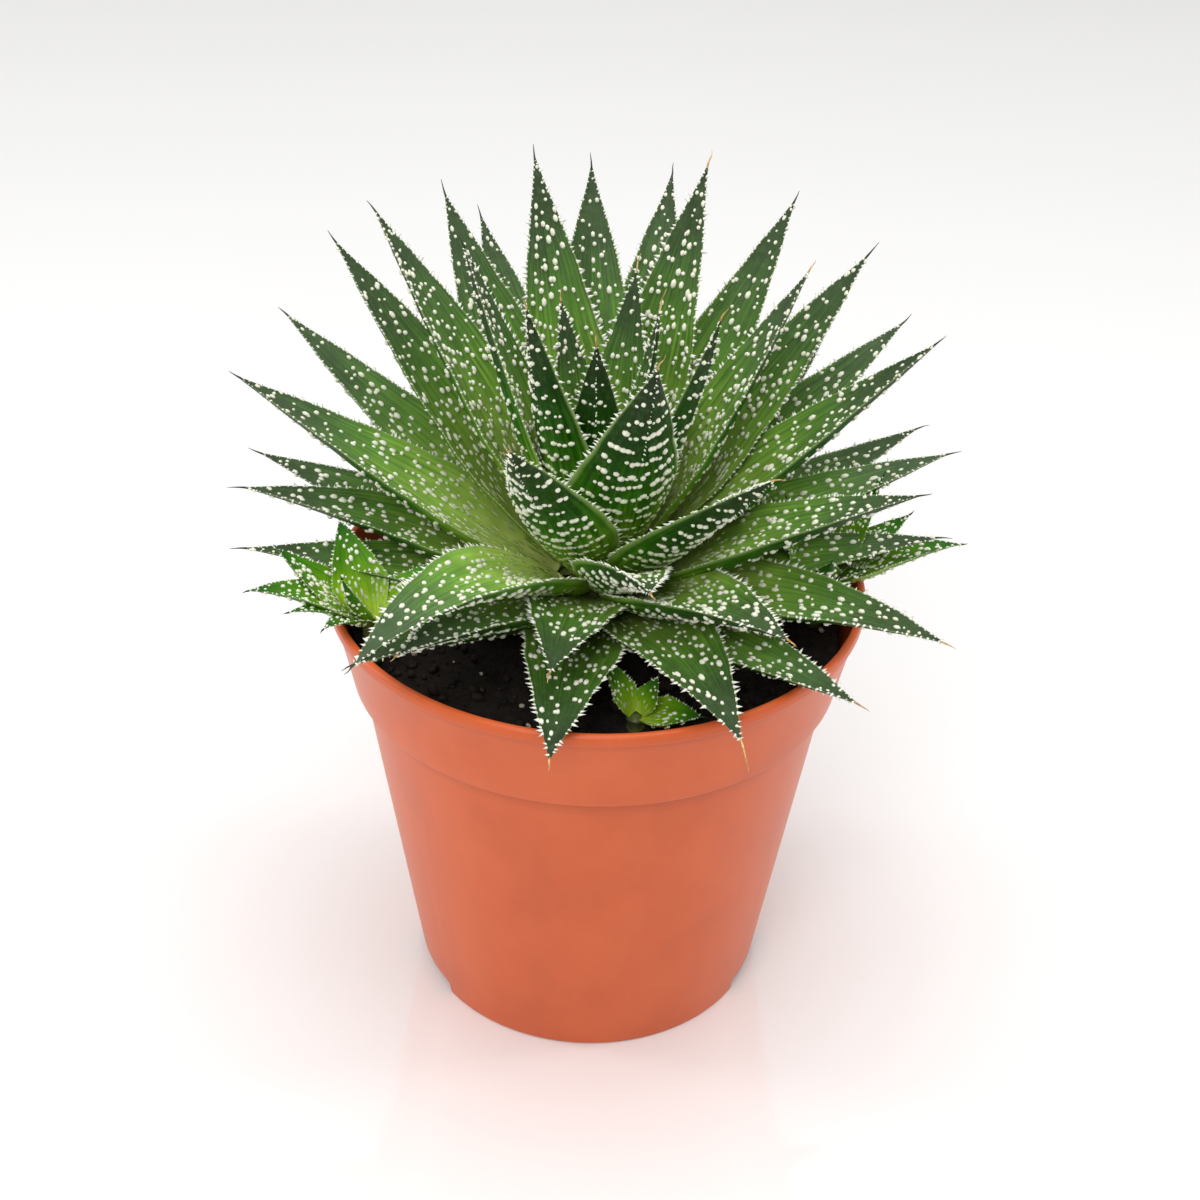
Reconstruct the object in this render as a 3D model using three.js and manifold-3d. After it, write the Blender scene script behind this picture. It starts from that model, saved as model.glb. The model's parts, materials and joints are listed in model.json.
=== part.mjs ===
// A lace aloe in a plastic nursery pot, in millimetres, +Z up.
// The origin is the centre of the pot's foot, on the surface that the pot stands on. -Y is the front.
import * as THREE from "three";
import { mergeVertices } from "three/addons/utils/BufferGeometryUtils.js";
import Module from "manifold-3d";

// ---- Pot ----
const POT_HEIGHT = 104;
const RIM_RADIUS = 60;
const COLLAR_FOOT_HEIGHT = 82.5;
const COLLAR_FOOT_RADIUS = 55.2;
const COLLAR_STEP = 2;
const STEP_SLOPE = 1.4;
const STEP_WALL = 1.1;
const COLLAR_BREAK = 8;
const COLLAR_SWELL = 1.6;
const FOOT_RADIUS = 40.5;
const FOOT_CHAMFER = 0.5;
const FOOT_TAPER = 1;
const WALL = 1.2;
const BEAD_HEIGHT = 2.6;
const BEAD_OVERHANG = 0.9;
const BEAD_UNDERCUT = 0.4;
const BEAD_THICKNESS = 2.2;
const BEAD_ROUNDING = 0.6;
const FLOOR_HEIGHT = 6.2;
const POT_SEGMENTS = 60;
const DRAIN_HOLES = 6;
const DRAIN_RADIUS = 4;
const DRAIN_CIRCLE = 26;
const DRAIN_SIDES = 16;
const DISH_RADIUS = 9;
const DISH_FLARE = 3;
const FOOT_WIDTH = 3.5;
const ARCH_AZIMUTHS = [-160, -14, 93];
const ARCH_WIDTH = 24;
const ARCH_HEIGHT = 4;

// ---- Soil ----
const SOIL_EDGE = 92.5;
const SOIL_CENTRE = 94.5;
const SOIL_FLARE = 1.2;
const GAP = 0.35;

// ---- Stem ----
const STEM_RADIUS = 6;
const STEM_FOOT = 82;
const STEM_SIDES = 20;
const CORE_STEPS = 6;
const CORE_DROP = 3;
const CORE_CAP = 0.5;
const CROWN_BASE = 98;
const CROWN_RISE = 19;
const CROWN_RADIUS = 9.5;
const CROWN_TIP_RADIUS = 1.6;
const CORE_INSET = 2.6;
const CROWN_TOP_SHARE = 0.98;

// ---- Leaves ----
const LEAF_STATIONS = [0, 0.1, 0.22, 0.36, 0.5, 0.64, 0.78, 0.9];
const LEAF_SECTION = [-1, -0.55, 0, 0.55, 1, 0.62, 0, -0.62];
const TOP_POINTS = 5;
const UNDERSIDE_SHOULDER = 0.72;
const ROOT_CUP = 0.34;
const TIP_CUP = 0.12;
const BEND_POWER = 1.4;
const TAPER_POWER = 1.3;
const THINNING_POWER = 0.8;
const LINE_STEPS = 100;
const WIDEST_AT = 0.36;
const BASE_WIDTH_SHARE = 0.42;
const LEAF_THICKNESS = 0.17;
const LOWEST_RISE = 8;
const RISE_SPAN = 72;

// Every leaf leaves the crown at `azimuth`, anticlockwise from +X, climbing at `rise` degrees,
// and has turned by `bend` degrees at its tip. A steeper leaf is a younger one, rooted higher on the crown.
// [azimuth, rise, bend, length, width], outermost leaves first.
const LEAVES = [
  [-97, 17, -30, 62, 23],
  [-66, 22, -38, 65, 23],
  [-44, 12, -10, 66, 20],
  [-132, 19, -14, 65, 20],
  [-27, 21, -28, 74, 23],
  [-174, 14, -4, 70, 20],
  [0, 16, -4, 68, 20],
  [30, 15, 0, 80, 21],
  [63, 13, -2, 76, 20],
  [97, 18, -4, 76, 20],
  [130, 14, -2, 76, 20],
  [160, 14, -2, 77, 21],
  [-99, 30, -34, 52, 23],
  [-57, 30, -20, 66, 24],
  [-124, 37, -53, 80, 23],
  [177, 23, -16, 73, 22],
  [13, 23, -8, 76, 23],
  [49, 25, 4, 84, 22],
  [78, 40, 8, 93, 23],
  [113, 36, 8, 87, 22],
  [151, 28, 6, 87, 23],
  [-17, 33, -8, 70, 23],
  [-125, 24, -18, 62, 20],
  [173, 31, 0, 83, 24],
  [30, 32, 2, 84, 22],
  [149, 42, 6, 87, 24],
  [7, 40, 0, 83, 23],
  [46, 51, 4, 86, 23],
  [94, 54, 6, 84, 23],
  [127, 47, 10, 85, 24],
  [-48, 47, -4, 62, 23],
  [35, 41, 4, 87, 23],
  [-78, 41, -24, 52, 20],
  [-113, 54, -4, 62, 23],
  [155, 56, 0, 85, 23],
  [16, 57, 6, 74, 20],
  [57, 66, 2, 83, 22],
  [113, 64, 2, 83, 22],
  [-71, 64, 6, 65, 25],
  [172, 69, 4, 72, 19],
  [-20, 69, 6, 62, 18],
  [-142, 74, 4, 63, 19],
  [70, 74, 4, 58, 16],
  [130, 77, 4, 52, 15],
  [-95, 79, 3, 52, 15],
  [10, 79, 4, 54, 13],
];

// Young plants budding round the old one. `heart` is the point that a young plant's leaves spring from.
const OFFSETS = {
  offset_left: {
    heart: [-48.6, -19.1, 103],
    leaves: [
      [-166, 42, -42, 28, 12],
      [-122, 44, -46, 17, 7],
      [-146, 44, -42, 21, 7],
      [168, 36, 6, 25, 13],
      [120, 48, 8, 23, 13],
      [30, 36, 8, 18, 12],
      [-140, 64, 8, 15, 8],
    ],
  },
  offset_right: {
    heart: [49, 0, 103.4],
    leaves: [
      [6, 28, -26, 33, 13],
      [28, 28, 2, 26, 12],
      [40, 50, 4, 28, 12],
      [-32, 36, 6, 14, 9],
      [-80, 50, 10, 15, 9],
      [130, 56, 8, 20, 10],
    ],
  },
  offset_front: {
    heart: [9, -42, 96.5],
    leaves: [
      [-12, 12, -4, 13, 11],
      [150, 58, 6, 14, 8],
      [40, 56, 8, 9, 7],
    ],
  },
};
const OFFSET_STEM_RADIUS = 2.2;
const OFFSET_LEAF_RADIUS = 1.2;
const OFFSET_SIDES = 10;
const BUD_RINGS = 6;

const SHADES = {
  pot: new THREE.MeshStandardMaterial({ color: 0xcf6846, roughness: 0.45 }),
  soil: new THREE.MeshStandardMaterial({ color: 0x1e1815, roughness: 1 }),
  stem: new THREE.MeshStandardMaterial({ color: 0x7d9a45, roughness: 0.6 }),
  leaf: new THREE.MeshStandardMaterial({ color: 0x2f5a2c, roughness: 0.5 }),
  offset: new THREE.MeshStandardMaterial({ color: 0x58a022, roughness: 0.5 }),
};

const wasm = await Module();
wasm.setup();

const radians = THREE.MathUtils.degToRad;
const mix = THREE.MathUtils.lerp;
const plant = new THREE.Group();

function place(name, geometry, material) {
  const mesh = new THREE.Mesh(geometry, material);
  mesh.name = name;
  plant.add(mesh);
}

// A closed geometry as a manifold-3d solid, and back again.
function solid(geometry) {
  const bare = geometry.index ? geometry.toNonIndexed() : geometry.clone();
  bare.deleteAttribute("normal");
  bare.deleteAttribute("uv");
  const merged = mergeVertices(bare, 1e-4);
  return new wasm.Manifold(
    new wasm.Mesh({
      numProp: 3,
      vertProperties: merged.attributes.position.array,
      triVerts: new Uint32Array(merged.index.array),
    }),
  );
}

function geometryOf(made) {
  const mesh = made.getMesh();
  const geometry = new THREE.BufferGeometry();
  geometry.setAttribute("position", new THREE.BufferAttribute(new Float32Array(mesh.vertProperties), 3));
  geometry.setIndex(new THREE.BufferAttribute(new Uint32Array(mesh.triVerts), 1));
  return geometry;
}

// LatheGeometry spins about Y; this stands it on Z.
// The profile lists [radius, height] from the axis outwards and up.
function lathe(profile, segments) {
  const points = profile.map(([radius, height]) => new THREE.Vector2(radius, height));
  return new THREE.LatheGeometry(points, segments).rotateX(Math.PI / 2);
}

function cylinder(radius, from, to, segments) {
  return new THREE.CylinderGeometry(radius, radius, to - from, segments)
    .rotateX(Math.PI / 2)
    .translate(0, 0, (from + to) / 2);
}

// Radius of the pot's outside at a height on the body, below the collar.
function bodyRadius(height) {
  return mix(FOOT_RADIUS, COLLAR_FOOT_RADIUS - COLLAR_STEP, height / COLLAR_FOOT_HEIGHT);
}

function pot() {
  const bead = POT_HEIGHT - BEAD_HEIGHT;
  const lip = RIM_RADIUS - BEAD_THICKNESS;
  const step = COLLAR_FOOT_HEIGHT - STEP_SLOPE;
  const belly = COLLAR_FOOT_RADIUS + COLLAR_SWELL;
  const profile = [
    [0, 0],
    [DISH_RADIUS, 0],
    [DISH_RADIUS + DISH_FLARE, FLOOR_HEIGHT - WALL],
    [FOOT_RADIUS - FOOT_WIDTH - FOOT_TAPER, FLOOR_HEIGHT - WALL],
    [FOOT_RADIUS - FOOT_WIDTH, 0],
    [FOOT_RADIUS - FOOT_CHAMFER, 0],
    [FOOT_RADIUS, FOOT_CHAMFER],
    [bodyRadius(step), step],
    [COLLAR_FOOT_RADIUS, COLLAR_FOOT_HEIGHT],
    [belly, COLLAR_FOOT_HEIGHT + COLLAR_BREAK],
    [RIM_RADIUS - BEAD_OVERHANG, bead - BEAD_UNDERCUT],
    [RIM_RADIUS, bead],
    [RIM_RADIUS, POT_HEIGHT - BEAD_ROUNDING],
    [RIM_RADIUS - BEAD_ROUNDING, POT_HEIGHT],
    [lip + BEAD_ROUNDING, POT_HEIGHT],
    [lip, bead],
    [belly - WALL, COLLAR_FOOT_HEIGHT + COLLAR_BREAK],
    [COLLAR_FOOT_RADIUS - WALL, COLLAR_FOOT_HEIGHT + STEP_WALL],
    [bodyRadius(step + STEP_WALL) - WALL, step + STEP_WALL],
    [bodyRadius(FLOOR_HEIGHT) - WALL, FLOOR_HEIGHT],
    [DISH_RADIUS + DISH_FLARE, FLOOR_HEIGHT],
    [DISH_RADIUS, WALL],
    [0, WALL],
  ];
  let body = solid(lathe(profile, POT_SEGMENTS));
  for (let k = 0; k < DRAIN_HOLES; k++) {
    const angle = (2 * Math.PI * k) / DRAIN_HOLES;
    const hole = cylinder(DRAIN_RADIUS, -FLOOR_HEIGHT, 2 * FLOOR_HEIGHT, DRAIN_SIDES);
    hole.translate(DRAIN_CIRCLE * Math.cos(angle), DRAIN_CIRCLE * Math.sin(angle), 0);
    body = body.subtract(solid(hole));
  }
  for (const azimuth of ARCH_AZIMUTHS) {
    const arch = new THREE.BoxGeometry(4 * FOOT_WIDTH, ARCH_WIDTH, 2 * ARCH_HEIGHT);
    arch.translate(FOOT_RADIUS, 0, 0).rotateZ(radians(azimuth));
    body = body.subtract(solid(arch));
  }
  return geometryOf(body);
}

// Radius of the leaf bases' circle at a share of the crown's rise.
function crownRadius(share) {
  return mix(CROWN_TIP_RADIUS, CROWN_RADIUS, Math.sqrt(1 - share * share));
}

// The stem: a shank planted in the soil, widening into the rounded core that the leaves stand round.
function stem() {
  const profile = [
    [0, STEM_FOOT],
    [STEM_RADIUS, STEM_FOOT],
    [STEM_RADIUS, SOIL_CENTRE + GAP],
  ];
  const base = CROWN_BASE - CORE_DROP;
  for (let k = 0; k < CORE_STEPS; k++) {
    const share = (CROWN_TOP_SHARE * k) / CORE_STEPS;
    profile.push([crownRadius(share) - CORE_INSET, base + CROWN_RISE * share]);
  }
  profile.push([0, base + CROWN_RISE + CORE_CAP]);
  return lathe(profile, STEM_SIDES);
}

// The soil falls away evenly from the middle to the wall.
function soilHeight(radius) {
  return mix(SOIL_CENTRE, SOIL_EDGE, radius / COLLAR_FOOT_RADIUS);
}

function soil() {
  const wall = (height) => bodyRadius(height) - WALL - GAP;
  const shoulder = COLLAR_FOOT_HEIGHT - STEP_SLOPE + STEP_WALL;
  const collar = COLLAR_FOOT_RADIUS - WALL - GAP;
  const hole = STEM_RADIUS + 2 * GAP;
  const profile = [
    [0, WALL + GAP],
    [DISH_RADIUS - GAP, WALL + GAP],
    [DISH_RADIUS + DISH_FLARE - GAP, FLOOR_HEIGHT + GAP],
    [wall(FLOOR_HEIGHT + GAP), FLOOR_HEIGHT + GAP],
    [wall(shoulder), shoulder],
    [collar, COLLAR_FOOT_HEIGHT + STEP_WALL + GAP],
    [collar + SOIL_FLARE, soilHeight(COLLAR_FOOT_RADIUS)],
    [hole, soilHeight(hole)],
    [hole, STEM_FOOT - GAP],
    [0, STEM_FOOT - GAP],
  ];
  return lathe(profile, POT_SEGMENTS);
}

// Share of the full width at a share of the length: a clasping base, widest at a third,
// then nearly straight to a point.
function widthShare(s) {
  if (s < WIDEST_AT) return mix(BASE_WIDTH_SHARE, 1, Math.sin((Math.PI / 2) * (s / WIDEST_AT)));
  return 1 - Math.pow((s - WIDEST_AT) / (1 - WIDEST_AT), TAPER_POWER);
}

// A leaf as a lofted solid: rings of LEAF_SECTION's points, closed by a point at the tip and one at the root.
// Each ring is a shallow trough above, from margin to margin, and a fuller curve back beneath.
// The rings hang on a middle line that bends in an upright plane.
// `ease` makes the same leaf that much bigger all round, for keeping its neighbours clear of it.
function leaf(root, radius, [azimuth, rise, bend, length, width], ease = 0) {
  const around = radians(azimuth);
  const line = [];
  let reach = radius;
  let height = 0;
  for (let k = 0; k <= LINE_STEPS; k++) {
    const angle = radians(rise + bend * Math.pow(k / LINE_STEPS, BEND_POWER));
    line.push({ reach, height, angle });
    reach += (length / LINE_STEPS) * Math.cos(angle);
    height += (length / LINE_STEPS) * Math.sin(angle);
  }
  const point = (s, across, lift) => {
    const at = line[Math.round(s * LINE_STEPS)];
    const out = at.reach - lift * Math.sin(at.angle);
    return new THREE.Vector3(
      root.x + out * Math.cos(around) - across * Math.sin(around),
      root.y + out * Math.sin(around) + across * Math.cos(around),
      root.z + at.height + lift * Math.cos(at.angle),
    );
  };
  const rings = LEAF_STATIONS.map((s) => {
    const half = (width / 2) * widthShare(s);
    const thick = width * LEAF_THICKNESS * Math.pow(widthShare(s), THINNING_POWER);
    const cup = half * mix(ROOT_CUP, TIP_CUP, s);
    return LEAF_SECTION.map((u, k) => {
      const fullness = u === 0 ? 1 : UNDERSIDE_SHOULDER;
      const under = k < TOP_POINTS ? -ease : thick * fullness + ease;
      return point(s, (half + ease) * u, cup * (u * u - 0.5) + 0.5 * thick - under);
    });
  });
  const tip = point(1, 0, 0);
  const heel = point(0, 0, 0);
  const vertices = [...rings.flat(), tip, heel];
  const faces = [];
  const sides = LEAF_SECTION.length;
  const last = (rings.length - 1) * sides;
  const tipIndex = rings.length * sides;
  for (let j = 0; j < sides; j++) {
    const next = (j + 1) % sides;
    for (let here = 0; here < last; here += sides) {
      const beyond = here + sides;
      faces.push(here + j, beyond + j, beyond + next, here + j, beyond + next, here + next);
    }
    faces.push(last + j, tipIndex, last + next);
    faces.push(tipIndex + 1, j, next);
  }
  const geometry = new THREE.BufferGeometry();
  const positions = new Float32Array(vertices.flatMap((v) => [v.x, v.y, v.z]));
  geometry.setAttribute("position", new THREE.BufferAttribute(positions, 3));
  geometry.setIndex(faces);
  return geometry;
}

// The largest body of a solid after its neighbours have been cut from it.
function clearOf(made, neighbours) {
  const cut = neighbours.reduce((left, other) => left.subtract(other), made);
  return cut.decompose().reduce((best, body) => (body.volume() > best.volume() ? body : best));
}

function rootOf(form) {
  const share = Math.min(CROWN_TOP_SHARE, (form[1] - LOWEST_RISE) / RISE_SPAN);
  return { root: new THREE.Vector3(0, 0, CROWN_BASE + CROWN_RISE * share), radius: crownRadius(share) };
}

function offset({ heart, leaves }) {
  const [x, y, z] = heart;
  const foot = soilHeight(Math.hypot(x, y) - OFFSET_STEM_RADIUS) + GAP;
  const bud = new THREE.SphereGeometry(OFFSET_STEM_RADIUS, OFFSET_SIDES, BUD_RINGS).translate(x, y, z);
  const shank = cylinder(OFFSET_STEM_RADIUS, foot, z, OFFSET_SIDES).translate(x, y, 0);
  return leaves.reduce(
    (made, form) => made.add(solid(leaf(new THREE.Vector3(x, y, z), OFFSET_LEAF_RADIUS, form))),
    solid(bud).add(solid(shank)),
  );
}

place("pot", pot(), SHADES.pot);
place("soil", soil(), SHADES.soil);
place("stem", stem(), SHADES.stem);

const eased = [];
LEAVES.forEach((form, i) => {
  const { root, radius } = rootOf(form);
  const made = clearOf(solid(leaf(root, radius, form)), eased);
  place(`leaf_${String(i + 1).padStart(2, "0")}`, geometryOf(made), SHADES.leaf);
  eased.push(solid(leaf(root, radius, form, GAP)));
});
for (const [name, young] of Object.entries(OFFSETS)) {
  place(name, geometryOf(clearOf(offset(young), eased)), SHADES.offset);
}

export default plant;
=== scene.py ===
"""A lace aloe with its offsets in a plastic nursery pot. Metres, +Z up, -Y is the front."""

import json
import math

import bpy
import numpy as np
from mathutils import Matrix, Vector

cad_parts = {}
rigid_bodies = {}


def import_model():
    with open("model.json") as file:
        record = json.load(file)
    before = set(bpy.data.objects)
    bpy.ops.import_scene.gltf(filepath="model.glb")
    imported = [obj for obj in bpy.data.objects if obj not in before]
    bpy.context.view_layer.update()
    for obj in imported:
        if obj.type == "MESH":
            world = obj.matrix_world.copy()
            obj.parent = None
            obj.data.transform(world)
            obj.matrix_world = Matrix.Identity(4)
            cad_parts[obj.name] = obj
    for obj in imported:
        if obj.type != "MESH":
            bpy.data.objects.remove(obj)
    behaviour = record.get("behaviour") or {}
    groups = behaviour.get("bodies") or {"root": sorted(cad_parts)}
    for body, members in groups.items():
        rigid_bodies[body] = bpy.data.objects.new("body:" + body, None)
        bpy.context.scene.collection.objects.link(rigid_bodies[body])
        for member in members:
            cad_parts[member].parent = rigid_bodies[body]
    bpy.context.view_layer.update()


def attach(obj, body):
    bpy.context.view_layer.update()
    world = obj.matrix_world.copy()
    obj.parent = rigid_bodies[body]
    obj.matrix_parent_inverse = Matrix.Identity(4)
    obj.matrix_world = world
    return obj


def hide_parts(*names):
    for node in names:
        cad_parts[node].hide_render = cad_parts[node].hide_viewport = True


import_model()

MM = 0.001

# ---- Pot, in millimetres ----
POT_HEIGHT = 104
RIM_RADIUS = 60
COLLAR_FOOT_HEIGHT = 82.5
COLLAR_FOOT_RADIUS = 55.2
COLLAR_STEP = 2
STEP_SLOPE = 1.4
STEP_WALL = 1.1
COLLAR_BREAK = 8
COLLAR_SWELL = 1.6
FOOT_RADIUS = 40.5
FOOT_CHAMFER = 0.5
FOOT_TAPER = 1
WALL = 1.2
BEAD_HEIGHT = 2.6
BEAD_OVERHANG = 0.9
BEAD_UNDERCUT = 0.4
BEAD_THICKNESS = 2.2
BEAD_ROUNDING = 0.6
FLOOR_HEIGHT = 6.2
DRAIN_HOLES = 6
DRAIN_RADIUS = 4
DRAIN_CIRCLE = 26
DRAIN_SIDES = 40
ARCH_CORNER = 1
DISH_RADIUS = 9
DISH_FLARE = 3
FOOT_WIDTH = 3.5
ARCH_AZIMUTHS = (-160, -14, 93)
ARCH_WIDTH = 24
ARCH_HEIGHT = 4

# [height, depth, darkest share] of the painted shade in the two creases, under the collar and under the bead.
POT_CREASE_SHADE = (
    (COLLAR_FOOT_HEIGHT - 0.6, 4.5, 0.8),
    (POT_HEIGHT - BEAD_HEIGHT - 0.4, 1.8, 0.86),
)
POT_SEGMENTS = 240
CORNER_ROUNDING = 0.35
SHARP_EDGE = 40

# ---- Soil ----
SOIL_EDGE = 92.5
SOIL_CENTRE = 94.5
SOIL_FLARE = 1.2
GAP = 0.35
STEM_RADIUS = 6
SOIL_SEGMENTS = 300
SOIL_RINGS = 84
LUMPS_REACH = 56

# ---- Rosette ----
CROWN_BASE = 98
CROWN_RISE = 19
CROWN_RADIUS = 9.5
CROWN_TIP_RADIUS = 1.6
CROWN_TOP_SHARE = 0.98
WIDEST_AT = 0.36
BASE_WIDTH_SHARE = 0.42
LEAF_THICKNESS = 0.17
UNDERSIDE_POWER = 2.2
UNDERSIDE_FULLNESS = 0.8
KEEL_DEPTH = 0.32
KEEL_WIDTH = 0.16
POINT_SLIMMING = 0.16
THINNING_POWER = 0.8
ROOT_CUP = 0.34
TIP_CUP = 0.12
BEND_POWER = 1.4
TAPER_POWER = 1.3
LOWEST_RISE = 8
RISE_SPAN = 72
MOST_TWIST = 5
MOST_SWAY = 0.007
LINE_STEPS = 400
TIP_RINGS = 14
TIP_RINGS_FROM = 0.9

# [azimuth, rise, bend, length, width] in degrees and millimetres, outermost leaves first.
LEAVES = [
    [-97, 17, -30, 62, 23],
    [-66, 22, -38, 65, 23],
    [-44, 12, -10, 66, 20],
    [-132, 19, -14, 65, 20],
    [-27, 21, -28, 74, 23],
    [-174, 14, -4, 70, 20],
    [0, 16, -4, 68, 20],
    [30, 15, 0, 80, 21],
    [63, 13, -2, 76, 20],
    [97, 18, -4, 76, 20],
    [130, 14, -2, 76, 20],
    [160, 14, -2, 77, 21],
    [-99, 30, -34, 52, 23],
    [-57, 30, -20, 66, 24],
    [-124, 37, -53, 80, 23],
    [177, 23, -16, 73, 22],
    [13, 23, -8, 76, 23],
    [49, 25, 4, 84, 22],
    [78, 40, 8, 93, 23],
    [113, 36, 8, 87, 22],
    [151, 28, 6, 87, 23],
    [-17, 33, -8, 70, 23],
    [-125, 24, -18, 62, 20],
    [173, 31, 0, 83, 24],
    [30, 32, 2, 84, 22],
    [149, 42, 6, 87, 24],
    [7, 40, 0, 83, 23],
    [46, 51, 4, 86, 23],
    [94, 54, 6, 84, 23],
    [127, 47, 10, 85, 24],
    [-48, 47, -4, 62, 23],
    [35, 41, 4, 87, 23],
    [-78, 41, -24, 52, 20],
    [-113, 54, -4, 62, 23],
    [155, 56, 0, 85, 23],
    [16, 57, 6, 74, 20],
    [57, 66, 2, 83, 22],
    [113, 64, 2, 83, 22],
    [-71, 64, 6, 65, 25],
    [172, 69, 4, 72, 19],
    [-20, 69, 6, 62, 18],
    [-142, 74, 4, 63, 19],
    [70, 74, 4, 58, 16],
    [130, 77, 4, 52, 15],
    [-95, 79, 3, 52, 15],
    [10, 79, 4, 54, 13],
]

OFFSETS = {
    "offset_left": ((-48.6, -19.1, 103), [
        [-166, 42, -42, 28, 12],
        [-122, 44, -46, 17, 7],
        [-146, 44, -42, 21, 7],
        [168, 36, 6, 25, 13],
        [120, 48, 8, 23, 13],
        [30, 36, 8, 18, 12],
        [-140, 64, 8, 15, 8],
    ]),
    "offset_right": ((49, 0, 103.4), [
        [6, 28, -26, 33, 13],
        [28, 28, 2, 26, 12],
        [40, 50, 4, 28, 12],
        [-32, 36, 6, 14, 9],
        [-80, 50, 10, 15, 9],
        [130, 56, 8, 20, 10],
    ]),
    "offset_front": ((9, -42, 96.5), [
        [-12, 12, -4, 13, 11],
        [150, 58, 6, 14, 8],
        [40, 56, 8, 9, 7],
    ]),
}
OFFSET_STEM_RADIUS = 2.2
OFFSET_LEAF_RADIUS = 1.2


def mix(a, b, t):
    """The value that lies the share `t` of the way from a to b."""
    return a + (b - a) * t


def smooth(low, high, x):
    """Zero below low, one above high, and a smooth S between."""
    t = np.clip((x - low) / (high - low), 0.0, 1.0)
    return t * t * (3 - 2 * t)


# ---- Materials ----

def linear(code):
    """An sRGB hex colour as linear red, green, blue and alpha."""
    parts = [int(code[k:k + 2], 16) / 255 for k in (1, 3, 5)]
    return tuple(c / 12.92 if c <= 0.04045 else ((c + 0.055) / 1.055) ** 2.4 for c in parts) + (1.0,)


def node(tree, kind, links=None, ramp=None, **settings):
    """Adds a node. `links` maps an input's name or number to a value or to an output socket."""
    made = tree.nodes.new(kind)
    for name, value in settings.items():
        setattr(made, name, value)
    for key, value in (links or {}).items():
        socket = made.inputs[key]
        if isinstance(value, bpy.types.NodeSocket):
            tree.links.new(value, socket)
        else:
            socket.default_value = value
    if ramp:
        stops = made.color_ramp.elements
        while len(stops) < len(ramp):
            stops.new(0.5)
        for stop, (place, colour) in zip(stops, ramp):
            stop.position = place
            stop.color = linear(colour) if isinstance(colour, str) else (colour, colour, colour, 1.0)
    return made


def material(name, build):
    """A material whose shader `build` makes in an empty node tree, from the place on the object."""
    made = bpy.data.materials.new(name)
    made.use_nodes = True
    tree = made.node_tree
    tree.nodes.clear()
    shader = build(tree, node(tree, "ShaderNodeTexCoord").outputs["Object"])
    node(tree, "ShaderNodeOutputMaterial", {"Surface": shader.outputs[0]})
    return made


def per_mm(size):
    """Noise scale that makes features of about `size` millimetres, on coordinates in metres."""
    return 1 / (size * MM)


# What each vertex knows of its leaf: places along and across it, how far it is on the upper face, and how
# light the leaf is among its neighbours.
LEAF_ATTRIBUTES = ("along", "across", "upper", "tone")


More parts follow.
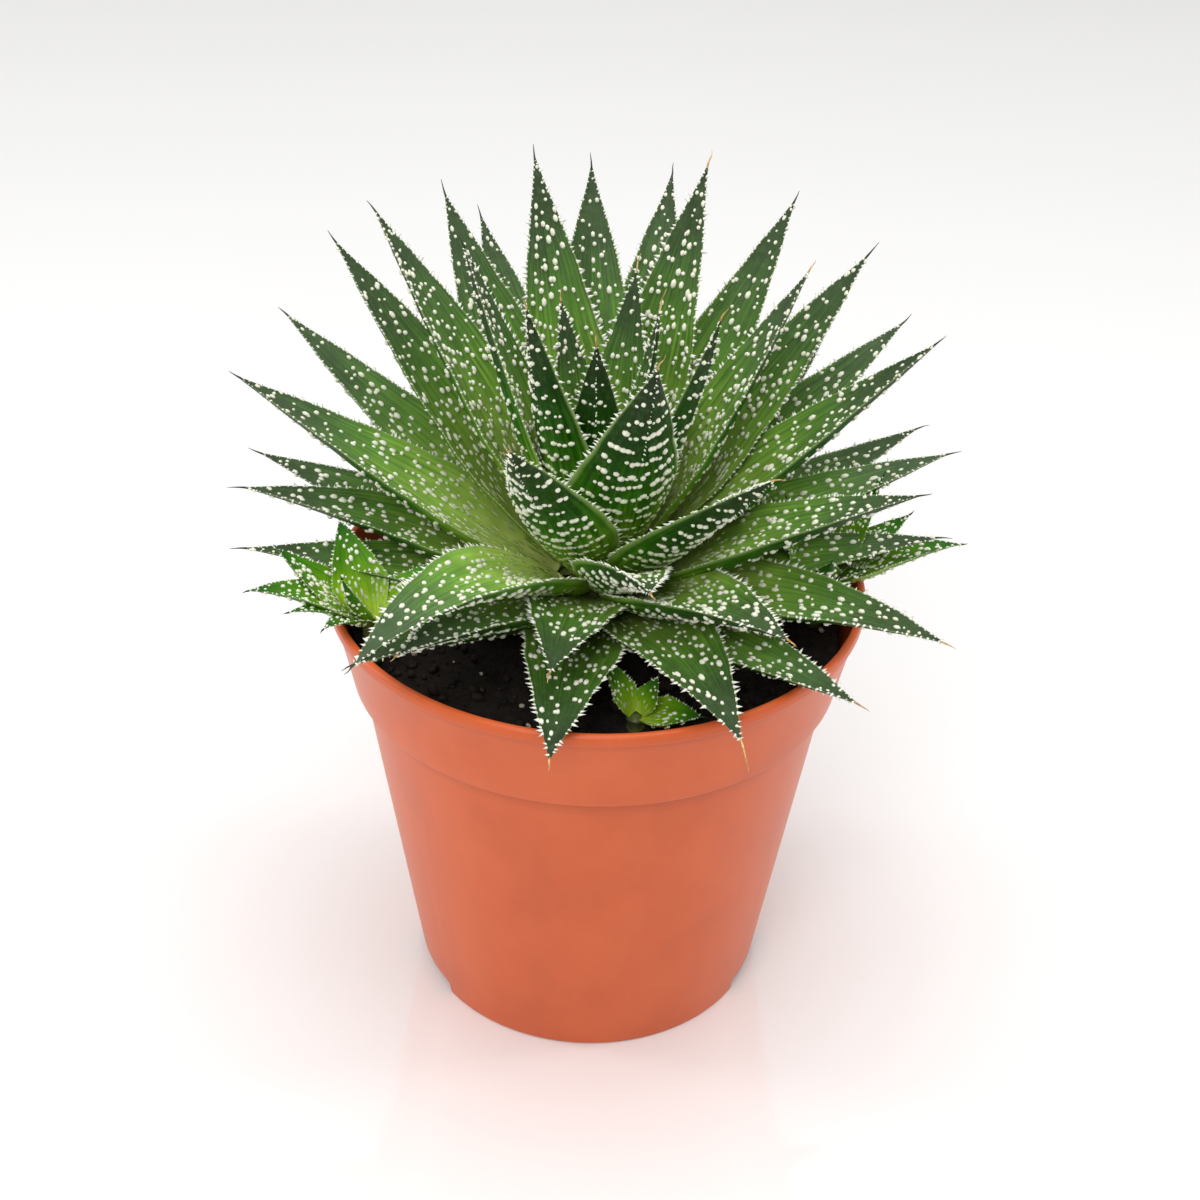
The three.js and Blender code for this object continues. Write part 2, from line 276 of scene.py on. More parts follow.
def leaf_skin(tree, where, upper, lower, bloom_most):
    """Living aloe skin: a waxy cuticle, satin rather than wet. Its colour runs from the pale base that the
    sun never reaches to the grey tip, the margin is a thin pale line, and wax blooms in small patches."""
    along, across, face, light = (
        node(tree, "ShaderNodeAttribute", attribute_name=name).outputs["Fac"] for name in LEAF_ATTRIBUTES)

    # Long cell streaks run with the leaf: the pattern is stretched along it, and shifted from leaf to leaf.
    on_leaf = node(tree, "ShaderNodeCombineXYZ", {"X": across, "Y": along})
    drawn_out = node(tree, "ShaderNodeVectorMath", {0: on_leaf.outputs[0], 1: (9.0, 1.6, 1.0)},
                     operation="MULTIPLY")
    shift = node(tree, "ShaderNodeVectorMath", {0: where, 1: (11.0, 11.0, 11.0)}, operation="MULTIPLY")
    streak_at = node(tree, "ShaderNodeVectorMath", {0: drawn_out.outputs[0], 1: shift.outputs[0]},
                     operation="ADD")
    streaks = node(tree, "ShaderNodeTexNoise", {"Vector": streak_at.outputs[0], "Scale": 1.6, "Detail": 3.0})
    wander = node(tree, "ShaderNodeMapRange", {
        "Value": streaks.outputs["Fac"],
        "From Min": 0.3, "From Max": 0.7, "To Min": -0.12, "To Max": 0.12,
    })
    place = node(tree, "ShaderNodeMath", {0: along, 1: wander.outputs[0]}, operation="ADD", use_clamp=True)
    top = node(tree, "ShaderNodeValToRGB", {"Fac": place.outputs[0]}, ramp=upper)
    under = node(tree, "ShaderNodeValToRGB", {"Fac": place.outputs[0]}, ramp=lower)
    colour = node(tree, "ShaderNodeMix", {0: face, 6: under.outputs["Color"], 7: top.outputs["Color"]},
                  data_type="RGBA")

    # Some leaves are lighter than their neighbours and some darker, the low front ones partly as painted
    # shade, and every leaf is cloudy in patches of about 7 mm.
    tone = node(tree, "ShaderNodeValToRGB", {"Fac": light},
                ramp=[(0.0, "#a3b096"), (0.5, "#d8ddd0"), (1.0, "#ffffff")])
    colour = node(tree, "ShaderNodeMix", {0: 1.0, 6: colour.outputs[2], 7: tone.outputs["Color"]},
                  data_type="RGBA", blend_type="MULTIPLY")

    patches = node(tree, "ShaderNodeTexNoise", {"Vector": where, "Scale": per_mm(7), "Detail": 3.0})
    shade = node(tree, "ShaderNodeValToRGB", {"Fac": patches.outputs["Fac"]}, ramp=[(0.3, 0.66), (0.68, 1.0)])
    colour = node(tree, "ShaderNodeMix", {0: 0.8, 6: colour.outputs[2], 7: shade.outputs["Color"]},
                  data_type="RGBA", blend_type="MULTIPLY")

    # Wax bloom: a grey-green film in grains of about 1.4 mm.
    wax = node(tree, "ShaderNodeTexNoise", {"Vector": where, "Scale": per_mm(1.4), "Detail": 4.0})
    bloom = node(tree, "ShaderNodeMapRange", {
        "Value": wax.outputs["Fac"], "From Min": 0.5, "From Max": 0.8, "To Min": 0.0, "To Max": bloom_most,
    })
    colour = node(tree, "ShaderNodeMix", {0: bloom.outputs[0], 6: colour.outputs[2], 7: linear("#7f9368")},
                  data_type="RGBA")

    # The horny margin: the outer few hundredths of the width.
    from_middle = node(tree, "ShaderNodeMath", {0: across}, operation="ABSOLUTE")
    margin = node(tree, "ShaderNodeMapRange", {
        "Value": from_middle.outputs[0],
        "From Min": 0.93, "From Max": 1.0, "To Min": 0.0, "To Max": 0.7,
    })
    colour = node(tree, "ShaderNodeMix", {0: margin.outputs[0], 6: colour.outputs[2], 7: linear("#9fb870")},
                  data_type="RGBA")

    # Relief: a fine grain of half a millimetre on swellings of 3.5 mm.
    grain = node(tree, "ShaderNodeTexNoise", {"Vector": where, "Scale": per_mm(0.5), "Detail": 2.0})
    swell = node(tree, "ShaderNodeTexNoise", {"Vector": where, "Scale": per_mm(3.5), "Detail": 2.0})
    height = node(tree, "ShaderNodeMath", {0: grain.outputs["Fac"], 1: 0.25, 2: swell.outputs["Fac"]},
                  operation="MULTIPLY_ADD")
    bump = node(tree, "ShaderNodeBump", {
        "Height": height.outputs[0], "Strength": 0.35, "Distance": 0.25 * MM,
    })
    gloss = node(tree, "ShaderNodeMapRange", {"Value": patches.outputs["Fac"], "To Min": 0.4, "To Max": 0.55})
    return node(tree, "ShaderNodeBsdfPrincipled", {
        "Base Color": colour.outputs[2], "Roughness": gloss.outputs[0], "Normal": bump.outputs[0],
        "IOR": 1.4, "Specular IOR Level": 0.2,
    })


def dot_skin(tree, where, base, tip):
    """Raised white dots and soft teeth: dry, air-filled skin, matt and creamy, greener near the base."""
    along = node(tree, "ShaderNodeAttribute", attribute_name="along").outputs["Fac"]
    colour = node(tree, "ShaderNodeValToRGB", {"Fac": along}, ramp=[(0.1, base), (0.5, tip)])
    speck = node(tree, "ShaderNodeTexNoise", {"Vector": where, "Scale": per_mm(0.9), "Detail": 3.0})
    mottle = node(tree, "ShaderNodeValToRGB", {"Fac": speck.outputs["Fac"]},
                  ramp=[(0.3, 0.84), (0.65, 1.0)])
    colour = node(tree, "ShaderNodeMix", {0: 1.0, 6: colour.outputs["Color"], 7: mottle.outputs["Color"]},
                  data_type="RGBA", blend_type="MULTIPLY")
    return node(tree, "ShaderNodeBsdfPrincipled", {
        "Base Color": colour.outputs[2], "Roughness": 0.6, "IOR": 1.45, "Specular IOR Level": 0.35,
    })


def dried_tip(tree, where):
    """Dried leaf tips: papery straw, tan with brown runs."""
    runs = node(tree, "ShaderNodeTexNoise", {"Vector": where, "Scale": per_mm(1.2)})
    colour = node(tree, "ShaderNodeValToRGB", {"Fac": runs.outputs["Fac"]},
                  ramp=[(0.3, "#8a6238"), (0.5, "#c29a58"), (0.75, "#e2cb98")])
    return node(tree, "ShaderNodeBsdfPrincipled", {"Base Color": colour.outputs["Color"], "Roughness": 0.75})


def peat(tree, where, dark, light, fleck):
    """Damp sphagnum peat: nearly black, fibrous, matt, with a faint wet glint on some grains."""
    clumps = node(tree, "ShaderNodeTexNoise", {
        "Vector": where, "Scale": per_mm(2.2), "Detail": 6.0, "Roughness": 0.7,
    })
    colour = node(tree, "ShaderNodeValToRGB", {"Fac": clumps.outputs["Fac"]},
                  ramp=[(0.3, dark), (0.62, light), (0.8, fleck)])
    fibre = node(tree, "ShaderNodeTexNoise", {
        "Vector": where, "Scale": per_mm(0.6), "Detail": 5.0, "Roughness": 0.7,
    })
    bump = node(tree, "ShaderNodeBump", {
        "Height": fibre.outputs["Fac"], "Strength": 0.8, "Distance": 0.6 * MM,
    })
    damp = node(tree, "ShaderNodeMapRange", {"Value": clumps.outputs["Fac"], "To Min": 0.95, "To Max": 0.6})
    return node(tree, "ShaderNodeBsdfPrincipled", {
        "Base Color": colour.outputs["Color"], "Roughness": damp.outputs[0], "Normal": bump.outputs[0],
        "Specular IOR Level": 0.3,
    })


def perlite(tree, where):
    """Perlite: popped volcanic glass, off-white, porous and matt."""
    pits = node(tree, "ShaderNodeTexNoise", {"Vector": where, "Scale": per_mm(0.7), "Detail": 4.0})
    colour = node(tree, "ShaderNodeValToRGB", {"Fac": pits.outputs["Fac"]},
                  ramp=[(0.3, "#75695a"), (0.6, "#c3bba9")])
    bump = node(tree, "ShaderNodeBump", {
        "Height": pits.outputs["Fac"], "Strength": 0.6, "Distance": 0.4 * MM,
    })
    return node(tree, "ShaderNodeBsdfPrincipled", {
        "Base Color": colour.outputs["Color"], "Roughness": 0.85, "Normal": bump.outputs[0],
    })


def moulded_polypropylene(tree, where):
    """Injection-moulded polypropylene in terracotta orange: a satin skin with a very fine orange peel,
    cloudy flow marks in the pigment, faint dusty scuffs from the potting bench, and painted shade: the
    colour darkens in the creases under the collar and under the bead, where shadow falls."""
    clouds = node(tree, "ShaderNodeTexNoise", {"Vector": where, "Scale": per_mm(22), "Detail": 4.0})
    colour = node(tree, "ShaderNodeValToRGB", {"Fac": clouds.outputs["Fac"]},
                  ramp=[(0.32, "#c9592a"), (0.5, "#cf5d2d"), (0.7, "#d36232")])
    drawn_up = node(tree, "ShaderNodeMapping", {"Vector": where, "Scale": (1.0, 1.0, 0.12)})
    flow = node(tree, "ShaderNodeTexNoise", {
        "Vector": drawn_up.outputs[0], "Scale": per_mm(5), "Detail": 3.0,
    })
    marks = node(tree, "ShaderNodeValToRGB", {"Fac": flow.outputs["Fac"]},
                 ramp=[(0.35, 0.94), (0.65, 1.0)])
    colour = node(tree, "ShaderNodeMix", {0: 0.6, 6: colour.outputs["Color"], 7: marks.outputs["Color"]},
                  data_type="RGBA", blend_type="MULTIPLY")
    dust = node(tree, "ShaderNodeTexNoise", {
        "Vector": where, "Scale": per_mm(2.6), "Detail": 7.0, "Roughness": 0.75,
    })
    scuffs = node(tree, "ShaderNodeMapRange", {
        "Value": dust.outputs["Fac"], "From Min": 0.66, "From Max": 0.8, "To Min": 0.0, "To Max": 0.35,
    })
    colour = node(tree, "ShaderNodeMix", {0: scuffs.outputs[0], 6: colour.outputs[2], 7: linear("#dd9a7c")},
                  data_type="RGBA")
    height = node(tree, "ShaderNodeSeparateXYZ", {0: where}).outputs["Z"]
    # Painted shade: the colour darkens in a band below each crease, where the collar and the bead cast
    # shadow.
    for edge, reach, dark in POT_CREASE_SHADE:
        below = node(tree, "ShaderNodeMapRange", {
            "Value": height,
            "From Min": (edge - reach) * MM, "From Max": edge * MM, "To Min": 1.0, "To Max": dark,
        })
        above = node(tree, "ShaderNodeMath", {0: height, 1: edge * MM}, operation="GREATER_THAN")
        keep = node(tree, "ShaderNodeMath", {0: below.outputs[0], 1: above.outputs[0]}, operation="MAXIMUM")
        colour = node(tree, "ShaderNodeMix", {0: 1.0, 6: colour.outputs[2], 7: keep.outputs[0]},
                      data_type="RGBA", blend_type="MULTIPLY")
    peel = node(tree, "ShaderNodeTexNoise", {"Vector": where, "Scale": per_mm(0.8), "Detail": 2.0})
    bump = node(tree, "ShaderNodeBump", {
        "Height": peel.outputs["Fac"], "Strength": 0.12, "Distance": 0.12 * MM,
    })
    satin = node(tree, "ShaderNodeMapRange", {"Value": clouds.outputs["Fac"], "To Min": 0.3, "To Max": 0.4})
    return node(tree, "ShaderNodeBsdfPrincipled", {
        "Base Color": colour.outputs[2], "Roughness": satin.outputs[0], "Normal": bump.outputs[0],
        "IOR": 1.49, "Specular IOR Level": 0.32,
    })


def stem_tissue(tree, where):
    """Living stem between the leaf bases: pale, moist and slightly glossy."""
    blotch = node(tree, "ShaderNodeTexNoise", {"Vector": where, "Scale": per_mm(3)})
    colour = node(tree, "ShaderNodeValToRGB", {"Fac": blotch.outputs["Fac"]},
                  ramp=[(0.3, "#39431c"), (0.7, "#66753a")])
    return node(tree, "ShaderNodeBsdfPrincipled", {"Base Color": colour.outputs["Color"], "Roughness": 0.5})


def white_laminate(tree, where):
    """A smooth white laminate table top, whose sheen mirrors the pot faintly."""
    cloud = node(tree, "ShaderNodeTexNoise", {"Vector": where, "Scale": per_mm(300)})
    tone = node(tree, "ShaderNodeValToRGB", {"Fac": cloud.outputs["Fac"]},
                ramp=[(0.3, "#f4f4f4"), (0.7, "#f6f6f6")])
    return node(tree, "ShaderNodeBsdfPrincipled", {
        "Base Color": tone.outputs["Color"], "Roughness": 0.06, "IOR": 2.0,
    })


# Skin colours from root to tip.
UPPER = [
    (0.0, "#dbe48c"), (0.18, "#c4d86a"), (0.38, "#a0cb55"),
    (0.58, "#6c9c3f"), (0.78, "#506c42"), (1.0, "#465440"),
]
LOWER = [
    (0.0, "#b4d838"), (0.22, "#96c430"), (0.38, "#468a12"),
    (0.6, "#24580c"), (0.85, "#304a24"), (1.0, "#343f2e"),
]
YOUNG_UPPER = [(0.0, "#c8e43c"), (0.3, "#92c41c"), (0.6, "#5fa018"), (0.85, "#3a7e1a"), (1.0, "#2d5e18")]
YOUNG_LOWER = [(0.0, "#c8dc4c"), (0.3, "#8cb820"), (0.6, "#529018"), (0.85, "#367418"), (1.0, "#2a521a")]

OLD_SKIN = material("aloe_leaf_skin_waxy", lambda *at: leaf_skin(*at, UPPER, LOWER, 0.16))
YOUNG_SKIN = material("aloe_offset_skin_waxy", lambda *at: leaf_skin(*at, YOUNG_UPPER, YOUNG_LOWER, 0.08))
DOTS = material("aloe_raised_dots_dry", lambda *at: dot_skin(*at, "#8aa446", "#f0f0dc"))
TEETH = material("aloe_soft_teeth_dry", lambda *at: dot_skin(*at, "#b4c884", "#f7f8ec"))
AWNS = material("aloe_dried_tip", dried_tip)
POT_SHELL = material("terracotta_polypropylene_moulded", moulded_polypropylene)
PEAT = material("damp_peat", lambda *at: peat(*at, "#0a0806", "#201710", "#43332a"))
CRUMBS = material("peat_crumbs", lambda *at: peat(*at, "#100c09", "#2c2018", "#5d4a39"))
PERLITE = material("perlite_popped", perlite)
STEM = material("aloe_stem_tissue", stem_tissue)
TABLE = material("white_laminate_polished", white_laminate)


# ---- Mesh making ----

def in_scene(name, data):
    """A new object in the scene that shows a mesh, a light or a camera."""
    made = bpy.data.objects.new(name, data)
    bpy.context.scene.collection.objects.link(made)
    return made


def piece_of(name, shells, materials):
    """Joins closed shells into one piece. A shell is its points in mm, its arrays of faces with three or
    four corners, its material's number, and its leaf attributes."""
    points = np.concatenate([shell[0] for shell in shells])
    starts = np.cumsum([0] + [len(shell[0]) for shell in shells])
    faces = [(block + start, shell[2]) for shell, start in zip(shells, starts) for block in shell[1]]
    corners = np.concatenate([block.ravel() for block, _ in faces])
    sizes = np.concatenate([np.full(len(block), block.shape[1]) for block, _ in faces])
    slots = np.concatenate([np.full(len(block), slot) for block, slot in faces])
    mesh = bpy.data.meshes.new(name)
    mesh.vertices.add(len(points))
    mesh.vertices.foreach_set("co", (points * MM).astype(np.float32).ravel())
    mesh.loops.add(len(corners))
    mesh.loops.foreach_set("vertex_index", corners.astype(np.int32))
    mesh.polygons.add(len(sizes))
    mesh.polygons.foreach_set("loop_start", (np.cumsum(sizes) - sizes).astype(np.int32))
    mesh.polygons.foreach_set("material_index", slots.astype(np.int32))
    mesh.polygons.foreach_set("use_smooth", np.ones(len(sizes), dtype=bool))
    for column, label in enumerate(LEAF_ATTRIBUTES, start=3):
        values = np.concatenate([np.broadcast_to(shell[column], len(shell[0])) for shell in shells])
        mesh.attributes.new(label, "FLOAT", "POINT").data.foreach_set("value", values.astype(np.float32))
    mesh.update(calc_edges=True)
    mesh.validate()
    for finish in materials:
        mesh.materials.append(finish)
    return in_scene(name, mesh)


def closed_tube(rings, around, counterclockwise):
    """Quads between rings that follow one another, and a fan that closes each end. The vertices are the
    rings, then the first end's middle, then the last end's. `counterclockwise` tells how the rings turn,
    seen by one who looks back from the last ring to the first, so that all faces point outwards."""
    k, j = np.meshgrid(np.arange(rings - 1), np.arange(around), indexing="ij")
    k, j = k.ravel(), j.ravel()
    n = (j + 1) % around
    quads = np.stack([k * around + j, (k + 1) * around + j, (k + 1) * around + n, k * around + n], 1)
    j = np.arange(around)
    n = (j + 1) % around
    last = (rings - 1) * around
    first_end = np.stack([j, n, np.full(around, rings * around)], 1)
    last_end = np.stack([last + n, last + j, np.full(around, rings * around + 1)], 1)
    if counterclockwise:
        quads = quads[:, ::-1]
        first_end = first_end[:, [1, 0, 2]]
        last_end = last_end[:, [1, 0, 2]]
    return [quads, np.concatenate([first_end, last_end])]


def unit(v):
    """Vectors brought to length one."""
    return v / np.maximum(np.linalg.norm(v, axis=-1, keepdims=True), 1e-12)


# ---- Leaves ----

def width_share(s):
    """Share of the full width: a sine rise from the clasping base to the widest place, then one minus a
    power, drawn in by a sixth near the tip so that the point is slender."""
    rising = mix(BASE_WIDTH_SHARE, 1, np.sin(np.pi / 2 * np.minimum(s / WIDEST_AT, 1)))
    falling = 1 - np.clip((s - WIDEST_AT) / (1 - WIDEST_AT), 0, 1) ** TAPER_POWER
    drawn_in = 1 - POINT_SLIMMING * smooth(0.84, 0.98, s)
    return np.where(s < WIDEST_AT, rising, falling * drawn_in)


def crown_radius(share):
    """How far from the axis a leaf springs: the crown narrows upwards as a quarter ellipse."""
    return mix(CROWN_TIP_RADIUS, CROWN_RADIUS, math.sqrt(1 - share * share))


class Leaf:
    """One leaf's shape: where it springs from, its form, and how it differs from its form in small ways."""

    def __init__(self, root, radius, form, rng, keel=1.0, twist=None, tone=None):
        self.root = np.array(root, dtype=float)
        self.azimuth, self.rise, self.bend, self.length, self.width = form
        self.keel = keel
        self.twist = rng.uniform(-MOST_TWIST, MOST_TWIST) if twist is None else twist
        self.sway = rng.uniform(-MOST_SWAY, MOST_SWAY) * self.length
        self.tone = rng.uniform(0.35, 0.65) if tone is None else tone
        self.waves = rng.uniform(0, 2 * np.pi, 4)
        s = np.linspace(0, 1, LINE_STEPS + 1)
        angle = np.radians(self.rise + self.bend * ((s[1:] + s[:-1]) / 2) ** BEND_POWER)
        step = self.length / LINE_STEPS
        self.line_s = s
        self.line_out = radius + np.concatenate([[0], np.cumsum(np.cos(angle)) * step])
        self.line_up = np.concatenate([[0], np.cumsum(np.sin(angle)) * step])

    def point(self, s, u, upper):
        """Point of the skin. s runs from root to tip and u across from -1 to 1. The middle line rises at an
        angle that changes by the bend times s to BEND_POWER. The upper face is a shallow parabola across
        it. The lower face hangs under that by the thickness times (1 - |u| to UNDERSIDE_POWER) to
        UNDERSIDE_FULLNESS, with a narrow ridge along the middle that grows towards the tip. The section
        turns evenly by the twist."""
        s = np.asarray(s, dtype=float)
        share = width_share(s)
        ripple = 1 + 0.02 * np.sin(23 * s + self.waves[0]) + 0.012 * np.sin(51 * s + self.waves[1])
        half = self.width / 2 * share * ripple
        thick = self.width * LEAF_THICKNESS * share ** THINNING_POWER
        cup = half * mix(ROOT_CUP, TIP_CUP, s)
        top = cup * (u * u - 0.5) + 0.5 * thick
        swell = np.sin(7 * s + self.waves[2]) * np.sin(5 * u + self.waves[3])
        top = top + 0.05 * thick * swell * (1 - u * u)
        depth = thick * (1 - np.abs(u) ** UNDERSIDE_POWER).clip(0) ** UNDERSIDE_FULLNESS
        ridge = self.keel * KEEL_DEPTH * thick * np.exp(-(u / KEEL_WIDTH) ** 2) * smooth(0.45, 0.85, s)
        height = np.where(upper, top, top - depth - ridge)
        across = half * u
        turn = np.radians(self.twist) * s
        side = across * np.cos(turn) - height * np.sin(turn) + self.sway * s * s
        raised = height * np.cos(turn) + across * np.sin(turn)
        angle = np.radians(self.rise + self.bend * s ** BEND_POWER)
        out = np.interp(s, self.line_s, self.line_out) - raised * np.sin(angle)
        up = np.interp(s, self.line_s, self.line_up) + raised * np.cos(angle)
        a = math.radians(self.azimuth)
        return self.root + np.stack([
            out * math.cos(a) - side * math.sin(a),
            out * math.sin(a) + side * math.cos(a),
            up,
        ], -1)

    def along(self, s, u, upper):
        """Direction along the leaf, by central differences."""
        return unit(self.point(np.minimum(s + 0.004, 1), u, upper) - self.point(s - 0.004, u, upper))

    def frame(self, s, u, upper):
        """Point, direction along the leaf, direction across, and outward normal, by central differences."""
        here = self.point(s, u, upper)
        along = self.along(s, u, upper)
        left = self.point(s, np.maximum(u - 0.03, -1), upper)
        right = self.point(s, np.minimum(u + 0.03, 1), upper)
        normal = unit(np.cross(along, right - left))
        normal = np.where(np.reshape(upper, (-1, 1)), normal, -normal)
        across = np.cross(normal, along)
        return here, along, across, normal


def tip_of(leaf, s):
    """The point on the middle of the upper face at s, as one row."""
    return leaf.point(np.array([s]), np.array([0.0]), np.array([True]))


def leaf_body(leaf, stations=56, top_count=17):
    """The skin: rings across the leaf, each from one margin over the top and back beneath, closed at both
    ends. The last rings crowd towards the tip."""
    s = np.concatenate([
        np.linspace(0, TIP_RINGS_FROM, stations - TIP_RINGS, endpoint=False),
        1 - np.geomspace(1 - TIP_RINGS_FROM, 0.004, TIP_RINGS),
    ])
    u_top = np.sin(np.linspace(-np.pi / 2, np.pi / 2, top_count))
    u_low = u_top[1:-1][::-1]
    u = np.concatenate([u_top, u_low])
    upper = np.concatenate([np.ones(top_count, bool), np.zeros(top_count - 2, bool)])
    grid_s, grid_u = np.meshgrid(s, u, indexing="ij")
    grid_upper = np.broadcast_to(upper, grid_s.shape)
    points = leaf.point(grid_s, grid_u, grid_upper).reshape(-1, 3)
    heel = points[:len(u)].mean(0, keepdims=True)
    vertices = np.concatenate([points, heel, tip_of(leaf, 1.0)])
    off_margin = 0.5 * smooth(1.0, 0.9, np.abs(u))
    soft_upper = np.where(upper, 0.5 + off_margin, 0.5 - off_margin)
    along = np.concatenate([grid_s.ravel(), [0.0, 1.0]])
    across = np.concatenate([grid_u.ravel(), [0.0, 0.0]])
    faced = np.concatenate([np.broadcast_to(soft_upper, grid_s.shape).ravel(), [0.5, 0.5]])
    faces = closed_tube(len(s), len(u), counterclockwise=False)
    return [(vertices, faces, 0, along, across, faced, leaf.tone)]


DOME_AROUND = 6
DOME_SHOULDER = 0.72


def domes(leaf, s, u, upper, long_radius, cross_radius, height):
    """Low closed domes on the skin: an ellipse at the skin, a smaller one above it by the same share of the
    height, a pole at the full height and one beneath."""
    here, along, across, normal = leaf.frame(s, u, upper)
    turn = np.arange(DOME_AROUND) * 2 * np.pi / DOME_AROUND
    cos, sin = np.cos(turn)[None, :, None], np.sin(turn)[None, :, None]
    a = (along * long_radius[:, None])[:, None, :]
    b = (across * cross_radius[:, None])[:, None, :]
    n = normal * height[:, None]
    low = here[:, None, :] + a * cos + b * sin - 0.12 * normal[:, None, :]
    mid = here[:, None, :] + DOME_SHOULDER * (a * cos + b * sin + n[:, None, :])
    top = (here + n)[:, None, :]
    bottom = (here - 0.3 * normal)[:, None, :]
    block = np.concatenate([low, mid, top, bottom], 1)
    size = block.shape[1]
    base = (np.arange(len(s)) * size)[:, None, None]
    j = np.arange(DOME_AROUND)
    nxt = (j + 1) % DOME_AROUND
    quads = np.stack([j, nxt, nxt + DOME_AROUND, j + DOME_AROUND], 1)
    caps = np.concatenate([
        np.stack([j + DOME_AROUND, nxt + DOME_AROUND, np.full(DOME_AROUND, 2 * DOME_AROUND)], 1),
        np.stack([nxt, j, np.full(DOME_AROUND, 2 * DOME_AROUND + 1)], 1),
    ])
    faces = [(quads[None] + base).reshape(-1, 4), (caps[None] + base).reshape(-1, 3)]
    return [(block.reshape(-1, 3), faces, 1, np.repeat(s, size), 0, 0, 0.5)]


def rows_of_dots(leaf, rng, row_gap, dot_gap, drop, stray):
    """Places of dots in broken rows across a face. The rows crowd towards the base, each keeps the places
    where a sum of two sines is over `drop`, and `stray` is how far a dot wanders, as a share of the
    gaps."""
    count = int(leaf.length / row_gap)
    rows = 0.05 + 0.92 * np.linspace(0, 1, count) ** 1.2
    reach = int(leaf.width / dot_gap / 2) + 2
    s, lanes = np.meshgrid(rows, np.arange(-reach, reach + 1), indexing="ij")
    slip = rng.uniform(-0.5, 0.5, count)[:, None]
    half = leaf.width / 2 * width_share(s)
    u = (lanes + slip + rng.normal(0, stray, s.shape)) * dot_gap / np.maximum(half, 0.3)
    phase = rng.uniform(0, 2 * np.pi, count)[:, None]
    run = np.sin(lanes * 1.15 + phase) + 0.5 * np.sin(lanes * 0.53 + 2.1 * phase)
    keep = (run > drop - 0.7 * (1 - smooth(0.2, 0.5, s))) | (rng.random(s.shape) < 0.12)
    s = s + rng.normal(0, stray, s.shape) * row_gap / leaf.length
    keep &= (np.abs(u) < 0.86) & (s < 0.985) & (s > 0.03)
    return s[keep], u[keep]


# [row gap, dot gap, drop, stray] of the dots beneath a leaf and of those above.
DOTS_BENEATH = (3.9, 1.22, -0.7, 0.13)
DOTS_ABOVE = (2.5, 1.8, -0.25, 0.3)
SMALLEST_DOT = 0.36
LARGEST_DOT = 0.74


def speckles(leaf, rng, crowding=1.0):
    """Both faces' dots. Beneath they are beads that join into bars, above they are sparser, and near the
    base they are lower and greener."""
    shells = []
    for upper, (row_gap, dot_gap, drop, stray) in ((False, DOTS_BENEATH), (True, DOTS_ABOVE)):
        s, u = rows_of_dots(leaf, rng, row_gap / crowding, dot_gap / crowding, drop, stray)
        size = rng.uniform(SMALLEST_DOT, LARGEST_DOT, len(s)) * mix(1.0, 0.72, smooth(0.7, 1.0, s))
        size *= min(1.0, 0.45 + leaf.width / 40)
        basal = 1 - smooth(0.15, 0.45, s)
        if upper:
            long_radius = size * mix(1.0, 1.9, basal) * rng.uniform(0.85, 1.75, len(s))
            cross_radius = size * mix(1.0, 0.7, basal)
            height = size * mix(0.75, 0.14, basal)
        else:
            long_radius = size * mix(1.05, 0.6, basal)
            cross_radius = size * rng.uniform(1.0, 1.6, len(s))
            height = size * mix(0.85, 0.22, basal)
        shells += domes(leaf, s, u, np.full(len(s), upper), long_radius, cross_radius, height)
    return shells


# [place across, first place along] of the rows of teeth: both margins, and the ridge beneath the tip.
TOOTH_ROWS = ((-1.0, 0.1), (1.0, 0.1), (0.0, 0.62))
LAST_TOOTH = 0.985
TOOTH_WIDTH = 0.5
TOOTH_FLATNESS = 0.62
TOOTH_ROOT = 0.25
RIDGE_TEETH_SHARE = 0.75


def teeth(leaf, rng, spacing, reach):
    """Soft white teeth: narrow four-sided spikes, most of them leaning towards the tip. A tooth is a
    flattened rhombus sunk in the skin, with one corner out at its reach and one beneath."""
    shells = []
    for u0, first in TOOTH_ROWS:
        s = np.arange(first, LAST_TOOTH, spacing / leaf.length)
        s = (s + rng.normal(0, 0.3, len(s)) * spacing / leaf.length).clip(first, LAST_TOOTH)
        u = np.full(len(s), u0)
        upper = np.full(len(s), u0 != 0)
        here = leaf.point(s, u, upper)
        along = leaf.along(s, u, upper)
        if u0:
            outward = unit(here - leaf.point(s, u * 0.6, upper))
        else:
            outward = leaf.frame(s, u, upper)[3]
        side = np.cross(outward, along)
        size = reach * rng.uniform(0.45, 1.25, len(s)) * mix(0.35, 1, smooth(0.05, 0.3, s))
        size *= mix(1, 0.7, smooth(0.8, 1, s))
        if not u0:
            size *= RIDGE_TEETH_SHARE
        lean = rng.uniform(-0.1, 0.7, len(s))[:, None]
        aim = unit(outward + lean * along + side * rng.normal(0, 0.25, len(s))[:, None])
        wide = TOOTH_WIDTH * np.minimum(1, size)[:, None]
        centre = here - TOOTH_ROOT * outward
        corners = np.stack([
            centre + along * wide,
            centre + side * wide * TOOTH_FLATNESS,
            centre - along * wide,
            centre - side * wide * TOOTH_FLATNESS,
            centre + aim * (size[:, None] + TOOTH_ROOT),
            centre - 0.15 * outward,
        ], 1)
        j = np.arange(4)
        n = (j + 1) % 4
        faces = np.concatenate([np.stack([j, n, np.full(4, 4)], 1), np.stack([n, j, np.full(4, 5)], 1)])
        base = (np.arange(len(s)) * 6)[:, None, None]
        spikes = [(faces[None] + base).reshape(-1, 3)]
        shells.append((corners.reshape(-1, 3), spikes, 2, np.repeat(s, 6), 0, 0, 0.5))
    return shells


AWN_RINGS = 9
AWN_AROUND = 5
AWN_RADIUS = 0.26
AWN_TIP_RADIUS = 0.05


